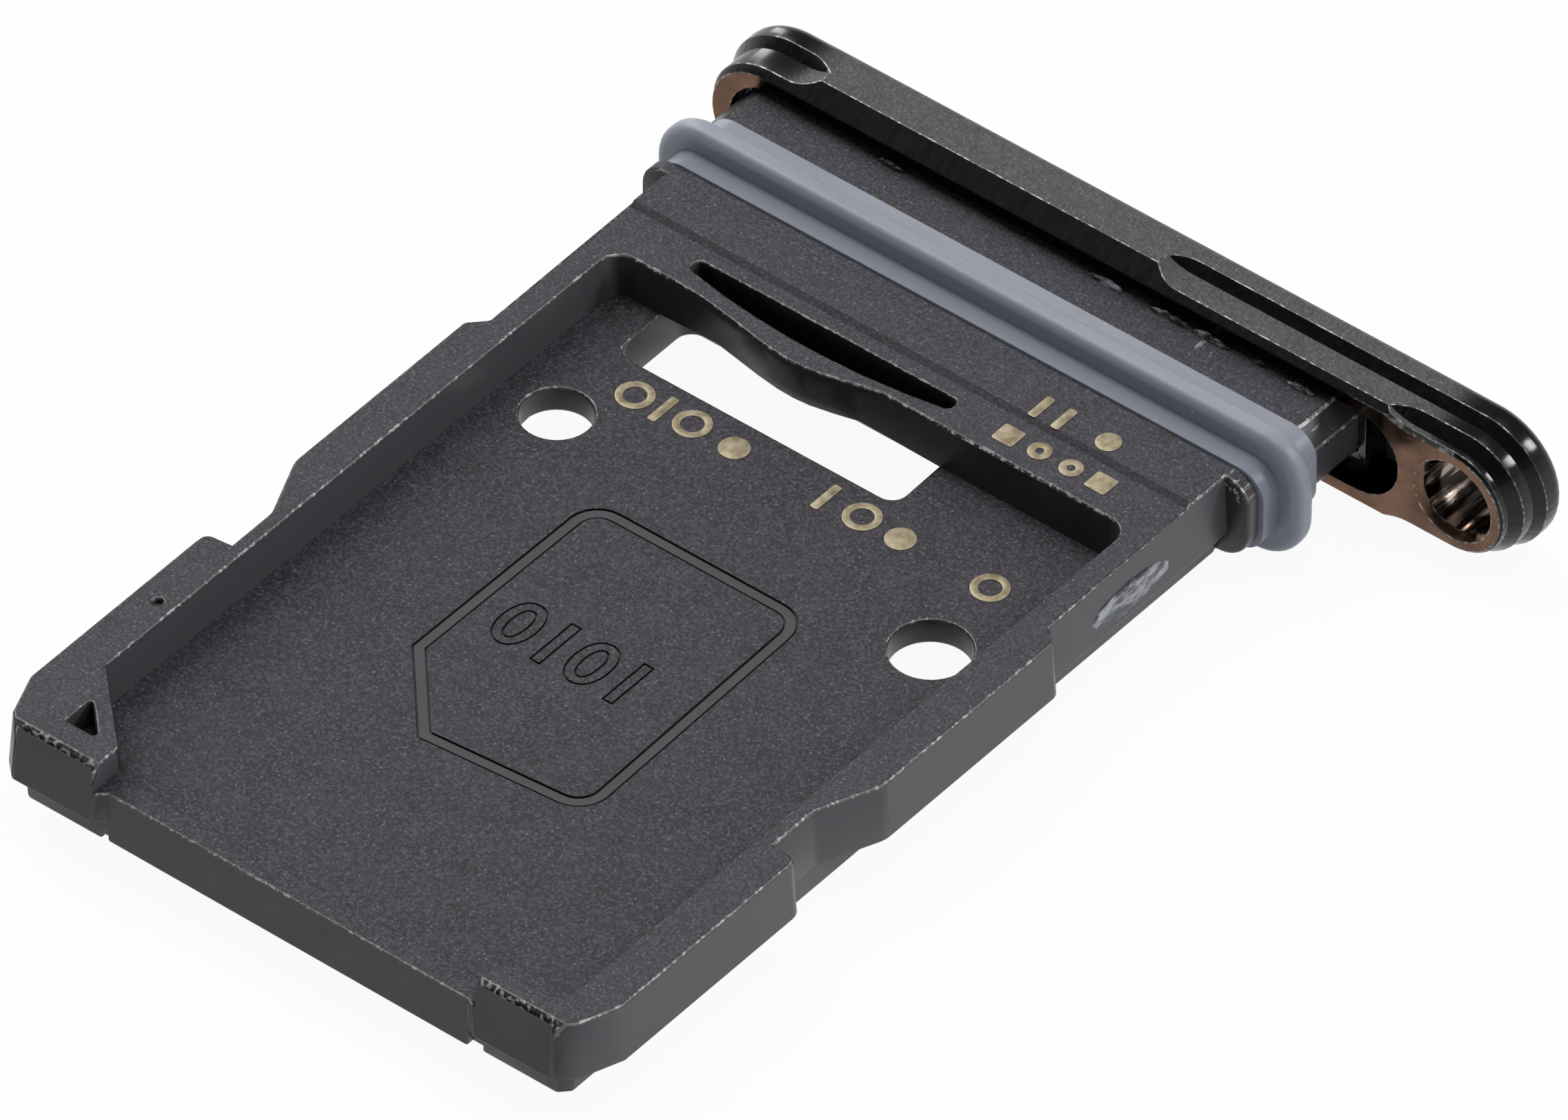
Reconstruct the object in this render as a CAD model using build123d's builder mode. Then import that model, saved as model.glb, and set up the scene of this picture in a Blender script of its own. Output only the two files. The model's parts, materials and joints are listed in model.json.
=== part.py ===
from build123d import *
from math import radians, tan
import os

# A tray for one nano card: a moulded carrier with a rubber seal ring on its neck,
# bonded by its tongue into the pocket of a milled metal face cap.
# The tray lies flat, +X across it, +Y towards the face cap and +Z up. Sizes are in millimetres.

# The card and the clearance round it at the pocket floor
CARD_W = 8.80
CARD_L = 12.30
CARD_SIDE_GAP = 0.13
CARD_END_GAP = 0.02

# Card pocket
POCKET_D = 0.70
POCKET_DRAFT = 6.5
POCKET_R = 0.25
CUT_CORNER = 1.25
FLOOR_T = 0.45

# Outline of the carrier's upper flange, from front to rear
FRONT_HALF_W = 5.28
NOTCH_HALF_W = 4.84
RAIL_HALF_W = 5.27
REAR_HALF_W = 5.02
RAIL_T = 1.00
FLANGE_DRAFT = 4.0
CORNER_Y = 0.38
CORNER_MID_X = 5.02
CORNER_MID_Y = 0.31
CORNER_FLAT_X = 4.80
BLOCK_END_Y = 4.18
NOTCH_END_Y = 5.10
RAMP_END_Y = 6.12
STEP_Y = 9.86
STEP_L = 0.26
NOTCH_STEP_L = 0.05
BLOCK_R = 0.15
STEP_R = 0.10
RAMP_R = 0.40

# Front posts and the lower lip between them
POST_REACH = 0.52
POST_BEVEL_Y = 0.11
POST_BEVEL_Z = 0.20
LIP_HALF_W = 3.40
LIP_DROP = 0.45
LIP_T = 0.43
LIP_SKEW = 0.06
LIP_BOTTOM = 1.35

# Skirt under the flange, and the shallow hollow in the underside
TRAY_T = 1.45
SKIRT_HALF_W = 4.88
SKIRT_REACH = 0.36
SKIRT_CHAMFER = 0.16
HOLLOW_LEFT_X = 4.40
HOLLOW_RIGHT_X = 3.84
HOLLOW_FRONT_Y = 0.35
HOLLOW_END_GAP = 0.35

# Round holes through the pocket floor
LEFT_HOLE_X = -3.55
LEFT_HOLE_Y = 9.80
LEFT_HOLE_D = 1.08
RIGHT_HOLE_X = 3.56
RIGHT_HOLE_Y = 9.30
RIGHT_HOLE_D = 1.22

# Three-cornered sink in the front left post
SINK_SIZE = 0.58
SINK_X = -4.33
SINK_Y = 0.00
SINK_D = 0.45
SINK_R = 0.05

# Spring arm at the pocket's rear wall: a bowed arm between a slot behind and a window below
ARM_LEFT_X = -3.55
ARM_RIGHT_X = 1.13
ARM_PEAK_X = -0.98
ARM_PEAK = 0.19
ARM_SHOULDER = 0.07
ARM_T = 0.36
SLOT_W = 0.46
SLOT_END_W = 0.22
SLOT_R = 0.10
WINDOW_SIDE_GAP = 0.17
WINDOW_FRONT_Y = 11.32
WINDOW_R = 0.25

# Neck: raised bridge, collar, seal groove and tongue
BRIDGE_Y = 13.21
BRIDGE_RISE = 0.06
BRIDGE_RUN = 0.10
COLLAR_Y = 14.03
COLLAR_T = 0.22
COLLAR_HALF_W = 5.45
COLLAR_BOTTOM = 1.40
COLLAR_R = 0.55
COLLAR_TOP_R = 0.40
GROOVE_W = 1.21
CORE_HALF_W = 5.14
CORE_SHIFT = 0.10
CORE_H = 0.84
CORE_R = 0.15
TONGUE_SHOWN_L = 0.76
TONGUE_HELD_L = 0.58
TONGUE_HALF_W = 5.45
TONGUE_H = 1.24
TONGUE_CHAMFER = 0.30

# Seal ring
SEAL_T = 0.30
SEAL_END_GAP = 0.005
BEAD_OFFSET = 0.35
BEAD_W = 0.42
BEAD_RISE = 0.35
BEAD_R = 0.17

# Face cap: a long rounded bar with two milled steps
CAP_W = 14.63
CAP_H = 2.28
CAP_LEFT = 6.14
CAP_T = 1.12
TOP_ABOVE_AXIS = 0.62
FLANGE_T = 0.42
FACE_R = 0.22
STEP_1_RUN = 0.17
TIER_2_INSET = 0.12
TIER_2_L = 0.20
STEP_2_RUN = 0.19
TIER_3_INSET = 0.26
BACK_CHAMFER_L = 0.32
BACK_CHAMFER_IN = 0.20
CUTTER_R = 0.93
LAND_LEFT_X = -5.40
LAND_RIGHT_X = 0.66
TIER_3_X = 4.92
TIER_3_CHAMFER = 0.05

# Pocket in the cap for the tongue, and the hole for the eject pin
CAP_POCKET_GAP = 0.115
CAP_POCKET_LEFT_GAP = 0.17
CAP_POCKET_RIGHT_GAP = 0.93
CAP_FLOOR_T = 0.34
PIN_HOLE_D = 1.16
PIN_SINK = 0.10

# Adhesive in the cap pocket
GLUE_L = 0.50
GLUE_PAST_TONGUE = 0.15

# How near a corner lies to the place that it is picked by
PICK = 0.01

# Places worked out from the sizes above
POCKET_W = CARD_W + 2 * CARD_SIDE_GAP
POCKET_L = CARD_L + CARD_END_GAP
GROOVE_Y = COLLAR_Y + COLLAR_T
TONGUE_Y = GROOVE_Y + GROOVE_W
CAP_BACK_Y = TONGUE_Y + TONGUE_SHOWN_L
CAP_FACE_Y = CAP_BACK_Y + CAP_T
AXIS_Z = CAP_H / 2
TOP_Z = AXIS_Z + TOP_ABOVE_AXIS
TRAY_X = CAP_LEFT - CAP_W / 2
FRONT_Y = -POST_REACH - RAIL_T * tan(radians(FLANGE_DRAFT))
SEAT_Y = -(FRONT_Y + CAP_FACE_Y) / 2
SLOT_BACK_Y = POCKET_L + ARM_T / 2 + SLOT_W
PIN_X = (CAP_W - CAP_H) / 2
CORE_X = TRAY_X + CORE_SHIFT
LIP_END_X = LIP_HALF_W + FRONT_Y + LIP_T


def level(depth):
    """Return the plan plane at a depth below the top, with its origin at the pocket's front wall."""
    return Plane((TRAY_X, SEAT_Y, TOP_Z - depth))


def across(y, x=TRAY_X, z=AXIS_Z):
    """Return the upright plane across the tray at a distance behind the pocket's front wall."""
    return Plane(origin=(x, SEAT_Y + y, z), x_dir=(1, 0, 0), z_dir=(0, -1, 0))


def side_plane():
    """Return the upright plane along the tray's middle, from the top of the pocket's front wall."""
    return Plane((TRAY_X, SEAT_Y, TOP_Z), x_dir=(0, 1, 0), z_dir=(1, 0, 0))


def plan_box(left, front, right, rear):
    """Draw a rectangle in plan by where its four sides lie."""
    with Locations(((left + right) / 2, (front + rear) / 2)):
        return Rectangle(right - left, rear - front)


def corners_between(plan, front, rear):
    """Return the corners of a plan that lie between two distances behind the pocket's front wall."""
    return plan.vertices().filter_by_position(Axis.Y, front - PICK, rear + PICK)


def bar_section(inset):
    """Draw the cap's rounded bar section, drawn in by an inset all round."""
    return SlotOverall(CAP_W - 2 * inset, CAP_H - 2 * inset)


def tongue_section():
    """Draw the tongue's section, with its corners cut off."""
    section = Rectangle(2 * TONGUE_HALF_W, TONGUE_H)
    return chamfer(section.vertices(), TONGUE_CHAMFER)


def run_out(rise):
    """Return how long a round cutter takes to climb out of a step of this rise."""
    return (2 * CUTTER_R * rise - rise**2) ** 0.5


def cutter_section(rise, run, floor_y):
    """Draw half a cutter's section: its round side leaves a tier, and its sloped shoulder a step."""
    return Polygon(
        (0, CAP_BACK_Y - run),
        (CUTTER_R, CAP_BACK_Y - run),
        (CUTTER_R, floor_y),
        (CUTTER_R - 2 * rise, floor_y + 2 * run),
        (0, floor_y + 2 * run),
        align=None,
    )


# Moulded carrier
with BuildPart() as tray_carrier:
    # Upper flange with front blocks, waist notches, rails and the narrower rear
    with BuildSketch(level(0)) as flange_plan:
        with BuildLine():
            Polyline(
                (0, -POST_REACH),
                (CORNER_FLAT_X, -POST_REACH),
                (CORNER_MID_X, -CORNER_MID_Y),
                (FRONT_HALF_W, CORNER_Y),
                (FRONT_HALF_W, BLOCK_END_Y),
                (NOTCH_HALF_W, BLOCK_END_Y + NOTCH_STEP_L),
                (NOTCH_HALF_W, NOTCH_END_Y),
                (RAIL_HALF_W, RAMP_END_Y),
                (RAIL_HALF_W, STEP_Y),
                (REAR_HALF_W, STEP_Y + STEP_L),
                (REAR_HALF_W, COLLAR_Y),
                (0, COLLAR_Y),
            )
            mirror(about=Plane.YZ)
        make_face()
        fillet(corners_between(flange_plan, BLOCK_END_Y, BLOCK_END_Y), BLOCK_R)
        fillet(corners_between(flange_plan, NOTCH_END_Y, RAMP_END_Y), RAMP_R)
        fillet(corners_between(flange_plan, STEP_Y, STEP_Y + STEP_L), STEP_R)
    extrude(amount=-RAIL_T, taper=-FLANGE_DRAFT)

    # Skirt below the flange
    with BuildSketch(level(RAIL_T)):
        with BuildLine():
            Polyline(
                (0, -SKIRT_REACH),
                (SKIRT_HALF_W - SKIRT_CHAMFER, -SKIRT_REACH),
                (SKIRT_HALF_W, SKIRT_CHAMFER - SKIRT_REACH),
                (SKIRT_HALF_W, COLLAR_Y),
                (0, COLLAR_Y),
            )
            mirror(about=Plane.YZ)
        make_face()
    extrude(amount=RAIL_T - TRAY_T)

    # Bevels on the upper front edge of the posts
    with BuildSketch(side_plane()):
        with BuildLine():
            Polyline(
                (-POST_REACH, 0),
                (POST_BEVEL_Y - POST_REACH, 0),
                (-POST_REACH, -POST_BEVEL_Z),
                close=True,
            )
        make_face()
    extrude(amount=FRONT_HALF_W, both=True, mode=Mode.SUBTRACT)

    # Gap between the posts above the lip, and the lip's face set back from the posts
    with BuildSketch(level(LIP_DROP)):
        plan_box(-LIP_HALF_W, FRONT_Y, LIP_HALF_W, POCKET_R)
    extrude(amount=LIP_DROP, mode=Mode.SUBTRACT)
    with BuildSketch(level(LIP_DROP)):
        with BuildLine():
            Polyline(
                (-LIP_HALF_W, FRONT_Y),
                (LIP_HALF_W, FRONT_Y),
                (LIP_END_X, -LIP_T - LIP_SKEW),
                (-LIP_END_X, -LIP_T),
                close=True,
            )
        make_face()
    extrude(amount=LIP_DROP - RAIL_T, mode=Mode.SUBTRACT)

    # The lip's lower half stands forward of the skirt and stops short of its bottom
    with BuildSketch(level(RAIL_T)):
        with BuildLine():
            Polyline(
                (-LIP_END_X, -LIP_T),
                (LIP_END_X, -LIP_T - LIP_SKEW),
                (LIP_END_X, 0),
                (-LIP_END_X, 0),
                close=True,
            )
        make_face()
    extrude(amount=RAIL_T - LIP_BOTTOM)
    with BuildSketch(level(LIP_BOTTOM)):
        plan_box(-LIP_HALF_W, FRONT_Y, LIP_HALF_W, HOLLOW_FRONT_Y)
    extrude(amount=LIP_BOTTOM - TRAY_T, mode=Mode.SUBTRACT)

    # Card pocket with drafted walls and one cut corner
    with BuildSketch(level(POCKET_D)) as pocket_plan:
        with BuildLine():
            Polyline(
                (CUT_CORNER - POCKET_W / 2, 0),
                (POCKET_W / 2, 0),
                (POCKET_W / 2, POCKET_L),
                (-POCKET_W / 2, POCKET_L),
                (-POCKET_W / 2, CUT_CORNER),
                close=True,
            )
        make_face()
        fillet(corners_between(pocket_plan, POCKET_L, POCKET_L), POCKET_R)
        fillet(pocket_plan.vertices().sort_by(Axis.Y)[:2].sort_by(Axis.X)[-1], POCKET_R)
    extrude(amount=POCKET_D, taper=-POCKET_DRAFT, mode=Mode.SUBTRACT)

    # Bowed front of the spring arm
    with BuildSketch(level(0)):
        with BuildLine():
            bow = Spline(
                (ARM_LEFT_X, POCKET_L + ARM_SHOULDER),
                ((ARM_LEFT_X + ARM_PEAK_X) / 2, POCKET_L - ARM_SHOULDER),
                (ARM_PEAK_X, POCKET_L - ARM_PEAK),
                (ARM_PEAK_X + ARM_T + SLOT_W, POCKET_L),
                (ARM_RIGHT_X, POCKET_L + ARM_SHOULDER),
            )
            Polyline(bow @ 1, (ARM_RIGHT_X, SLOT_BACK_Y), (ARM_LEFT_X, SLOT_BACK_Y), bow @ 0)
        make_face()
    extrude(amount=-POCKET_D)

    # Slot behind the arm and window below it
    with BuildSketch(level(0)) as slot_plan:
        with BuildLine():
            Polyline(
                (ARM_RIGHT_X, SLOT_BACK_Y - SLOT_END_W),
                (ARM_RIGHT_X, SLOT_BACK_Y),
                (ARM_LEFT_X, SLOT_BACK_Y),
                (ARM_LEFT_X, SLOT_BACK_Y - SLOT_END_W),
            )
            ThreePointArc(
                (ARM_LEFT_X, SLOT_BACK_Y - SLOT_END_W),
                ((ARM_LEFT_X + ARM_RIGHT_X) / 2, SLOT_BACK_Y - SLOT_W),
                (ARM_RIGHT_X, SLOT_BACK_Y - SLOT_END_W),
            )
        make_face()
        fillet(slot_plan.vertices(), SLOT_R)
    extrude(amount=-POCKET_D, mode=Mode.SUBTRACT)
    with BuildSketch(level(POCKET_D)) as window_plan:
        plan_box(ARM_LEFT_X - WINDOW_SIDE_GAP, WINDOW_FRONT_Y, ARM_RIGHT_X + WINDOW_SIDE_GAP, SLOT_BACK_Y)
        fillet(window_plan.vertices(), WINDOW_R)
    extrude(amount=POCKET_D - TRAY_T, mode=Mode.SUBTRACT)

    # Shallow hollow in the underside
    with BuildSketch(level(TRAY_T)):
        plan_box(-HOLLOW_LEFT_X, HOLLOW_FRONT_Y, HOLLOW_RIGHT_X, WINDOW_FRONT_Y - HOLLOW_END_GAP)
    extrude(amount=TRAY_T - POCKET_D - FLOOR_T, mode=Mode.SUBTRACT)

    # Round holes in the floor
    with BuildSketch(level(POCKET_D)):
        with Locations((LEFT_HOLE_X, LEFT_HOLE_Y)):
            Circle(LEFT_HOLE_D / 2)
        with Locations((RIGHT_HOLE_X, RIGHT_HOLE_Y)):
            Circle(RIGHT_HOLE_D / 2)
    extrude(amount=POCKET_D - TRAY_T, mode=Mode.SUBTRACT)

    # Three-cornered sink in the front left post
    with BuildSketch(level(0)) as sink_plan:
        with BuildLine():
            Polyline(
                (SINK_X, SINK_Y),
                (SINK_X + SINK_SIZE, SINK_Y),
                (SINK_X, SINK_Y + SINK_SIZE),
                close=True,
            )
        make_face()
        fillet(sink_plan.vertices(), SINK_R)
    extrude(amount=-SINK_D, mode=Mode.SUBTRACT)

    # Raised bridge behind the pocket, with a sloped front
    with BuildSketch(side_plane()):
        with BuildLine():
            Polyline(
                (BRIDGE_Y, 0),
                (COLLAR_Y, 0),
                (COLLAR_Y, BRIDGE_RISE),
                (BRIDGE_Y + BRIDGE_RUN, BRIDGE_RISE),
                close=True,
            )
        make_face()
    extrude(amount=REAR_HALF_W, both=True)

    # Collar in front of the seal
    collar_h = BRIDGE_RISE + COLLAR_BOTTOM
    with BuildSketch(across(COLLAR_Y, z=TOP_Z + BRIDGE_RISE - collar_h / 2)) as collar_face:
        Rectangle(2 * COLLAR_HALF_W, collar_h)
        fillet(collar_face.vertices().group_by(Axis.Y)[0], COLLAR_R)
        fillet(collar_face.vertices().group_by(Axis.Y)[-1], COLLAR_TOP_R)
    extrude(amount=-COLLAR_T)

    # Core of the seal groove, and the tongue
    with BuildSketch(across(GROOVE_Y, x=CORE_X)):
        RectangleRounded(2 * CORE_HALF_W, CORE_H, CORE_R)
    extrude(amount=-GROOVE_W)
    with BuildSketch(across(TONGUE_Y)):
        tongue_section()
    extrude(amount=-TONGUE_SHOWN_L - TONGUE_HELD_L)

# Rubber ring stretched round the core, with one raised bead
band_half_w = CORE_HALF_W + SEAL_T
band_h = CORE_H + 2 * SEAL_T
with BuildPart() as seal_ring:
    with BuildSketch(across(GROOVE_Y + SEAL_END_GAP, x=CORE_X)):
        RectangleRounded(2 * band_half_w, band_h, CORE_R + SEAL_T)
    extrude(amount=2 * SEAL_END_GAP - GROOVE_W)
    with BuildSketch(across(GROOVE_Y + BEAD_OFFSET, x=CORE_X)):
        RectangleRounded(2 * (band_half_w + BEAD_RISE), band_h + 2 * BEAD_RISE, CORE_R + SEAL_T + BEAD_RISE)
    extrude(amount=-BEAD_W)
    crest_edges = [
        edge
        for edge in seal_ring.edges().filter_by(Axis.Y, reverse=True)
        if abs(edge.center().Z - AXIS_Z) > (band_h + BEAD_RISE) / 2
        or abs(edge.center().X - CORE_X) > band_half_w + BEAD_RISE / 2
    ]
    fillet(crest_edges, BEAD_R)
    with BuildSketch(across(GROOVE_Y, x=CORE_X)):
        RectangleRounded(2 * CORE_HALF_W, CORE_H, CORE_R)
    extrude(amount=-GROOVE_W, mode=Mode.SUBTRACT)

# The cap's milled steps, as the solid that the cutters leave
tier_3_rise = TIER_3_INSET - TIER_2_INSET
step_1_y = CAP_FACE_Y - FLANGE_T
tier_2_y = step_1_y - STEP_1_RUN
step_2_y = tier_2_y - TIER_2_L
tier_3_y = step_2_y - STEP_2_RUN
land_top = CAP_H / 2
land_foot = CAP_H / 2 - TIER_2_INSET
tier_foot = CAP_H / 2 - TIER_3_INSET
land_left = LAND_LEFT_X - run_out(TIER_2_INSET)
land_right = LAND_RIGHT_X + run_out(TIER_2_INSET)
tier_right = TIER_3_X + run_out(tier_3_rise)
with BuildPart() as land_cutter:
    with BuildSketch(Plane((0, SEAT_Y, 0))):
        cutter_section(TIER_2_INSET, STEP_1_RUN, tier_2_y)
    revolve(axis=Axis.Y)
with BuildPart() as tier_cutter:
    with BuildSketch(Plane((0, SEAT_Y, 0))):
        cutter_section(tier_3_rise, STEP_2_RUN, tier_3_y)
    revolve(axis=Axis.Y)

# Full-height land, which the cutter runs out of at both its ends, above and below
with BuildPart() as cap_land:
    with BuildSketch(across(CAP_BACK_Y, x=(land_left + land_right) / 2)):
        Rectangle(land_right - land_left, 2 * land_top)
    extrude(amount=CAP_BACK_Y - step_1_y)
    land_axis = land_foot + CUTTER_R
    with Locations(*[(x, 0, AXIS_Z + side * land_axis) for x in (land_left, land_right) for side in (1, -1)]):
        add(land_cutter.part, mode=Mode.SUBTRACT)

# Second tier's level, which reaches the back as far as the third tier's cut
with BuildPart() as tier_land:
    with BuildSketch(across(CAP_BACK_Y, x=(LAND_LEFT_X + tier_right) / 2)):
        Rectangle(tier_right - LAND_LEFT_X, 2 * land_foot)
    extrude(amount=CAP_BACK_Y - step_2_y)
    with Locations(*[(tier_right, 0, AXIS_Z + side * (tier_foot + CUTTER_R)) for side in (1, -1)]):
        add(tier_cutter.part, mode=Mode.SUBTRACT)

with BuildPart() as cap_steps:
    # Full section at the flange, and the sloped first step
    with BuildSketch(across(step_1_y, x=0)):
        bar_section(0)
    extrude(amount=-FLANGE_T)
    with BuildSketch(across(step_1_y, x=0)):
        bar_section(0)
    with BuildSketch(across(tier_2_y, x=0)):
        bar_section(TIER_2_INSET)
    loft()

    # Second tier, the sloped second step and the third tier
    with BuildSketch(across(step_2_y, x=0)):
        bar_section(TIER_2_INSET)
    extrude(amount=-TIER_2_L)
    with BuildSketch(across(step_2_y, x=0)):
        bar_section(TIER_2_INSET)
    with BuildSketch(across(tier_3_y, x=0)):
        bar_section(TIER_3_INSET)
    loft()
    with BuildSketch(across(CAP_BACK_Y, x=0)):
        bar_section(TIER_3_INSET)
    extrude(amount=CAP_BACK_Y - tier_3_y)

    # The left end has no third tier
    with BuildSketch(across(CAP_BACK_Y, x=LAND_LEFT_X)):
        SlotOverall(2 * (CAP_W / 2 + LAND_LEFT_X - TIER_2_INSET), CAP_H - 2 * TIER_2_INSET)
    extrude(amount=CAP_BACK_Y - step_2_y)
    add(tier_land.part)
    add(cap_land.part)

# Milled face cap
with BuildPart() as face_cap:
    # Bar with a shallow chamfer round its back and a rounded outer face
    with BuildSketch(across(CAP_BACK_Y, x=0)):
        bar_section(BACK_CHAMFER_IN)
    with BuildSketch(across(CAP_BACK_Y + BACK_CHAMFER_L, x=0)):
        bar_section(0)
    loft()
    with BuildSketch(across(CAP_BACK_Y + BACK_CHAMFER_L, x=0)):
        bar_section(0)
    extrude(amount=BACK_CHAMFER_L - CAP_T)
    fillet(face_cap.faces().sort_by(Axis.Y)[-1].edges(), FACE_R)
    add(cap_steps.part, mode=Mode.INTERSECT)
    back_edges = face_cap.faces().sort_by(Axis.Y)[0].edges()
    chamfer(back_edges.filter_by_position(Axis.X, TIER_3_X + CUTTER_R, CAP_W / 2), TIER_3_CHAMFER)

    # Pocket for the tongue
    pocket_w = 2 * TONGUE_HALF_W + CAP_POCKET_LEFT_GAP + CAP_POCKET_RIGHT_GAP
    pocket_x = TRAY_X + (CAP_POCKET_RIGHT_GAP - CAP_POCKET_LEFT_GAP) / 2
    with BuildSketch(across(CAP_BACK_Y, x=pocket_x)):
        SlotOverall(pocket_w, TONGUE_H + 2 * CAP_POCKET_GAP)
    extrude(amount=CAP_FLOOR_T - CAP_T, mode=Mode.SUBTRACT)

    # Countersunk hole for the eject pin, on the centre of the cap's round end
    with BuildSketch(across(CAP_BACK_Y, x=PIN_X)):
        Circle(PIN_HOLE_D / 2)
    extrude(amount=-CAP_T, mode=Mode.SUBTRACT)
    hole_edges = face_cap.edges().filter_by(GeomType.CIRCLE)
    hole_edges = hole_edges.filter_by(lambda edge: abs(edge.radius - PIN_HOLE_D / 2) < PICK)
    chamfer(hole_edges.sort_by(Axis.Y)[0], PIN_SINK)

# Adhesive between the tongue and the bottom of the cap's pocket
glue_y = CAP_FACE_Y - CAP_FLOOR_T - GLUE_L
with BuildPart() as adhesive_bead:
    with BuildSketch(across(glue_y, x=pocket_x)):
        SlotOverall(pocket_w, TONGUE_H + 2 * CAP_POCKET_GAP)
    extrude(amount=-GLUE_L)
    glue_end_x = TRAY_X + TONGUE_HALF_W + GLUE_PAST_TONGUE
    split(bisect_by=Plane(origin=(glue_end_x, 0, 0), z_dir=(1, 0, 0)), keep=Keep.BOTTOM)
    with BuildSketch(across(TONGUE_Y)):
        tongue_section()
    extrude(amount=-TONGUE_SHOWN_L - TONGUE_HELD_L, mode=Mode.SUBTRACT)

os.makedirs("parts", exist_ok=True)
for name, piece in {
    "tray_carrier": tray_carrier,
    "seal_ring": seal_ring,
    "face_cap": face_cap,
    "adhesive_bead": adhesive_bead,
}.items():
    piece.part.label = name
    export_step(piece.part, f"parts/{name}.step")
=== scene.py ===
"""Dresses a sim card tray: its moulded carrier, seal ring, milled face cap and cured adhesive."""

from __future__ import annotations

import json
import logging
import math
from contextlib import contextmanager
from dataclasses import dataclass
from enum import Enum, IntEnum
from typing import Any, Callable, Iterator

import bmesh
import bpy
from mathutils import Matrix, Vector


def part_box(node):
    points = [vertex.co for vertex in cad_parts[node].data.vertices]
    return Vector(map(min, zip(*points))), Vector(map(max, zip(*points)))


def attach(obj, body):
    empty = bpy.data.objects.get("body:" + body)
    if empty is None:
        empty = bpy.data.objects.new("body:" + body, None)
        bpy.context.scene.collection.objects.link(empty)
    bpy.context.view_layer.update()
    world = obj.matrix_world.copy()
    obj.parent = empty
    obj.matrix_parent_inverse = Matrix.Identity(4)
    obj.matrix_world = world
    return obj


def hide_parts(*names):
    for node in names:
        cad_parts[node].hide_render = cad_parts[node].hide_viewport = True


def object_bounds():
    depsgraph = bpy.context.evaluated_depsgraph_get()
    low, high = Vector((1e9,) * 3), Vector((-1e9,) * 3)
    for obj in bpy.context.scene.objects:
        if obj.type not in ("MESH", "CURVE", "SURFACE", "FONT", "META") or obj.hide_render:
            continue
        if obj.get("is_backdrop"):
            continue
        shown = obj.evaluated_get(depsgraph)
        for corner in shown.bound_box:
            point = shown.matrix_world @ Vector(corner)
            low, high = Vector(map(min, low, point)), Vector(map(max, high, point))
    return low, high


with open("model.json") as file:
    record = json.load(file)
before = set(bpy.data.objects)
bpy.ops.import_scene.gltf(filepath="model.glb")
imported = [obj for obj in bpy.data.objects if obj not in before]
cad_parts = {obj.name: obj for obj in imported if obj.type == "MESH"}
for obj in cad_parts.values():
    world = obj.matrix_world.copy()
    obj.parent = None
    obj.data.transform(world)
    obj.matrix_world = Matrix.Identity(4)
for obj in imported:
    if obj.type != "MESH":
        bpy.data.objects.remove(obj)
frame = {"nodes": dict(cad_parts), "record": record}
CAD_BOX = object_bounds()

LOG = logging.getLogger("card_tray")
MM = 0.001
ROOT = "root"
WELD = 1e-6
PHOTO_WIDTH = 2273
SENSOR_WIDTH = 36.0

Piece = bpy.types.Object
Material = bpy.types.Material
Socket = bpy.types.NodeSocket
Triple = tuple[float, float, float]
Test = Callable[[Vector, Vector], bool]


class Slot(str, Enum):
    """The record's material slots."""

    CARRIER = "carrier_plastic"
    SEAL = "seal_rubber"
    CAP = "cap_metal"
    ADHESIVE = "adhesive"


class Mark(Enum):
    """The plain shapes of the gold marks."""

    RING = "ring"
    BAR = "bar"
    DISC = "disc"
    BLOCK = "block"


class CarrierFinish(IntEnum):
    """The carrier's finishes, in the order of its material slots."""

    PLASTIC = 0
    EDGE = 1
    BAND = 2
    # Painted shade in the narrow pressed grooves.
    LINE = 3


class CapFinish(IntEnum):
    """The cap's finishes, in the order of its material slots."""

    BLASTED = 0
    POLISHED = 1
    # Painted warm reflection on the back face and the bores.
    BROWN = 2
    # Painted highlight on the rounded edges.
    GLINT = 3
    CHAMFER = 4


@dataclass(frozen=True)
class Datum:
    """The point of the shared frame at the pocket's front wall, on the carrier's top."""

    x: float
    y: float
    z: float

    SEAT_FROM_WALL = 6.0 * MM
    SEAT_DEPTH = 0.70 * MM

    @classmethod
    def from_record(cls, record: dict[str, Any]) -> Datum:
        """Find the datum from the record's card seat.

        Args:
            record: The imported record.

        Returns:
            The datum, in metres.
        """
        seat = next(mount for mount in record["mounts"] if mount["name"] == "card_seat")
        x, y, z = seat["pos_m"]
        return cls(x, y - cls.SEAT_FROM_WALL, z + cls.SEAT_DEPTH)

    def at(self, x: float, y: float, z: float = 0.0) -> Vector:
        """Return the place of a point given in millimetres from the datum."""
        return Vector((self.x + x * MM, self.y + y * MM, self.z + z * MM))


def deselect() -> None:
    """Leave edit mode and deselect every object."""
    if bpy.context.object and bpy.context.object.mode != "OBJECT":
        bpy.ops.object.mode_set(mode="OBJECT")
    bpy.ops.object.select_all(action="DESELECT")


def pick(piece: Piece) -> None:
    """Make a piece the only selected and the active object."""
    deselect()
    piece.select_set(True)
    bpy.context.view_layer.objects.active = piece


@contextmanager
def editing(piece: Piece, kind: str = "FACE") -> Iterator[None]:
    """Edit a piece's mesh, with nothing selected at the start.

    Args:
        piece: The piece to edit.
        kind: What is selected: VERT, EDGE or FACE.
    """
    pick(piece)
    bpy.ops.object.mode_set(mode="EDIT")
    bpy.ops.mesh.select_mode(type=kind)
    bpy.ops.mesh.select_all(action="DESELECT")
    yield
    bpy.ops.object.mode_set(mode="OBJECT")


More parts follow.
